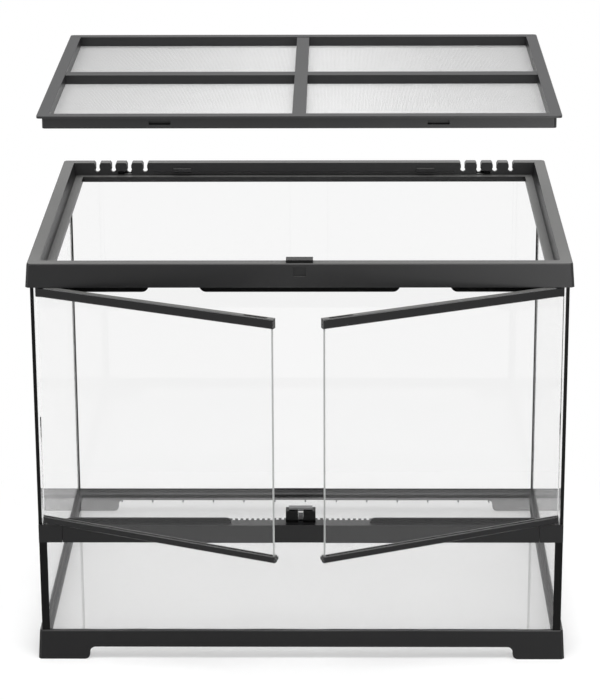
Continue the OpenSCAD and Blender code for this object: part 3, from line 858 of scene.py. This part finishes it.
@dataclass
class Studio:
    """The pale floor, the soft lights and the camera."""

    eye: tuple[float, float, float] = (0.042, -3.180, 1.363)
    yaw: float = 0.81
    pitch: float = 18.46
    roll: float = -0.27
    focal_px: float = 2783.0
    picture_px: float = 700.0
    farthest: float = 50.0
    floor_half: float = 8.0
    floor_colour: str = "#F6F6F6"
    footprint: tuple[float, float, float] = (0.305, 0.23, 1.0)
    fade: float = 0.15
    least_white: float = 0.35
    world_light: float = 0.42
    lights: tuple[SoftBox, ...] = (
        SoftBox("top_light", (0.1, -0.95, 2.8), (0.0, 0.0, 0.3), 1.3, 8.0),
        SoftBox("left_strip", (-1.6, -0.6, 2.8), (-0.1, -0.3, 0.3), 0.7, 11.0),
        SoftBox("right_strip", (1.6, -0.6, 2.8), (0.1, -0.3, 0.3), 0.7, 11.0),
        SoftBox("right_light", (0.75, -2.3, 0.32), (0.25, -0.2, 0.25), 0.6, 8.0),
        SoftBox("back_light", (0.0, 1.9, 2.8), (0.0, 0.5, 0.0), 1.8, 3.0),
    )

    def seen(self, tree: bpy.types.NodeTree) -> bpy.types.NodeSocket:
        """Gives 1 to the rays that show the background, straight or in gloss and glass.

        Args:
            tree: the material's or world's tree.

        Returns:
            The socket with the answer.
        """
        path = add_node(tree, "ShaderNodeLightPath").outputs
        answer = path["Is Camera Ray"]
        for name in ("Is Glossy Ray", "Is Transmission Ray"):
            answer = maths(tree, "MAXIMUM", answer, path[name])
        return answer

    def floor(self) -> None:
        """Makes the pale floor.

        To the eye it turns plain white away from the object, and it keeps the
        object's shadow under and just round it.
        """
        material, tree = new_material("pale_floor")
        paper = add_node(
            tree, "ShaderNodeBsdfPrincipled", Base_Color=srgb(self.floor_colour), Roughness=0.9
        )
        paper.inputs["Specular IOR Level"].default_value = 0.0
        place = add_node(tree, "ShaderNodeTexCoord").outputs["Object"]
        # how far a point lies outside the object's footprint
        past = place
        for operation, other in (
            ("ABSOLUTE", (0, 0, 0)),
            ("SUBTRACT", self.footprint),
            ("MAXIMUM", (0, 0, 0)),
        ):
            past = add_node(
                tree, "ShaderNodeVectorMath", {"operation": operation}, i0=past, i1=other
            ).outputs[0]
        reach = add_node(
            tree, "ShaderNodeVectorMath", {"operation": "LENGTH"}, i0=past
        ).outputs["Value"]
        away = add_node(
            tree,
            "ShaderNodeMapRange",
            {"interpolation_type": "SMOOTHSTEP"},
            Value=reach,
            From_Max=self.fade,
            To_Min=self.least_white,
        ).outputs["Result"]
        share = maths(tree, "MULTIPLY", away, self.seen(tree))
        white = add_node(tree, "ShaderNodeEmission", Color=(1.0, 1.0, 1.0, 1.0), Strength=1.0)
        mix = add_node(
            tree, "ShaderNodeMixShader", Fac=share, i1=paper.outputs[0], i2=white.outputs[0]
        )
        add_node(tree, "ShaderNodeOutputMaterial", Surface=mix.outputs[0])
        half = self.floor_half
        corners = [(-half, -half, 0), (half, -half, 0), (half, half, 0), (-half, half, 0)]
        mesh_object("floor", corners, [(0, 1, 2, 3)], material)

    def world(self) -> None:
        """Lights from all round, with a white background behind the object."""
        world = bpy.data.worlds.new("studio")
        world.use_nodes = True
        tree = world.node_tree
        tree.nodes.clear()
        strength = add_node(
            tree, "ShaderNodeMapRange", Value=self.seen(tree), To_Min=self.world_light, To_Max=1.0
        ).outputs[0]
        shade = add_node(
            tree, "ShaderNodeBackground", Color=(1.0, 1.0, 1.0, 1.0), Strength=strength
        )
        add_node(tree, "ShaderNodeOutputWorld", Surface=shade.outputs[0])
        bpy.context.scene.world = world

    def camera(self) -> None:
        """Makes the camera, turned by its yaw, its pitch and then its roll."""
        data = bpy.data.cameras.new("camera")
        data.lens = self.focal_px / self.picture_px * data.sensor_width
        data.clip_end = self.farthest
        obj = bpy.data.objects.new("camera", data)
        yaw, pitch, roll = (math.radians(a) for a in (self.yaw, self.pitch, self.roll))
        ahead = Vector(
            (
                -math.sin(yaw) * math.cos(pitch),
                math.cos(yaw) * math.cos(pitch),
                -math.sin(pitch),
            )
        )
        right = Vector((math.cos(yaw), math.sin(yaw), 0))
        up = right.cross(ahead)
        right, up = (
            right * math.cos(roll) + up * math.sin(roll),
            up * math.cos(roll) - right * math.sin(roll),
        )
        turn = Matrix((right, up, -ahead)).transposed()
        obj.matrix_world = Matrix.Translation(self.eye) @ turn.to_4x4()
        bpy.context.scene.collection.objects.link(obj)
        bpy.context.scene.camera = obj

    def build(self) -> None:
        """Makes the whole studio."""
        self.floor()
        self.world()
        for light in self.lights:
            light.build()
        self.camera()
        bpy.context.scene.view_settings.view_transform = "Standard"
        LOG.info("studio: floor, world, %d lights and camera", len(self.lights))


def finishes() -> dict[str, bpy.types.Material]:
    """Makes every material once.

    Returns:
        The materials by short name.
    """
    kinds: dict[str, MouldedPlastic | FloatGlass | Silicone | DrawnMetal] = {
        # the walls and the window hardly show, the rear pane greys what lies behind
        # it a little, and the floor pane's grey tint is painted shade of the ground under the tank
        "glass": FloatGlass("clear_float_glass", CLEAR),
        "rear_glass": FloatGlass("rear_float_glass", "#F7F7F7"),
        "floor_glass": FloatGlass("floor_float_glass_painted_shade", "#E3E3E3", ior=1.5),
        # the frames: dark fronts, and level rims that read mid-grey, partly from dust and painted
        # sheen
        "frame": MouldedPlastic("satin_black_abs", "#101011", 0.5, 0.36, specular=0.34, dust_and_sheen=0.36),
        "base": MouldedPlastic(
            "satin_black_base_abs", "#0B0B0C", 0.36, 0.55, specular=0.27, dust_and_sheen=0.25
        ),
        # the cover and its bars: charcoal, paler than the frames below
        "cover": MouldedPlastic("satin_charcoal_abs", "#262627", 0.6, 0.3, specular=0.32),
        # the profile over the window: near black
        "vent": MouldedPlastic("satin_black_vent_abs", "#0C0C0D", 0.36, 0.36, specular=0.3),
        # the doors' rails: dark faces under a thin pale line along their tops, partly dust and
        # painted sheen
        "rail": MouldedPlastic(
            "extruded_black_abs", "#101011", 0.3, 0.26, edge_mm=0.25, specular=0.3, dust_and_sheen=0.5
        ),
        # stops and shutters: deep black without gloss; latch and lock: black with shine
        "black": MouldedPlastic("deep_black_abs", "#050505", 0.5, 0.5, specular=0.05),
        "gloss": MouldedPlastic("polished_black_abs", "#050505", 0.22, 0.22, specular=0.15),
        # the lever: a grey accent in the black lock
        "lever": MouldedPlastic("grey_acetal", "#5A5A5B", 0.35, 0.35),
        # black lines down the corners; the floor bead is grey, a painted highlight of light from
        # above
        "silicone": Silicone("black_silicone", "#0A0A0A"),
        "fillet": Silicone("tooled_silicone_painted_highlight", "#262627", 0.4, 0.6),
        # bright pins; the wires blend to a soft pale veil
        "steel": DrawnMetal("drawn_steel", "#ECECEA", roughness=0.2),
        "wire": DrawnMetal("drawn_aluminium_wire", "#CDCDCD", roughness=0.65),
    }
    return {key: kind.material() for key, kind in kinds.items()}


def main() -> None:
    """Builds and dresses everything, and makes the studio."""
    logging.basicConfig(level=logging.INFO, format="%(message)s")
    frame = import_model()
    looks = finishes()
    for part in (Tank(), Doors(), ScreenCover()):
        part.build(frame, looks)
    Studio().build()


if __name__ == "__main__":
    main()
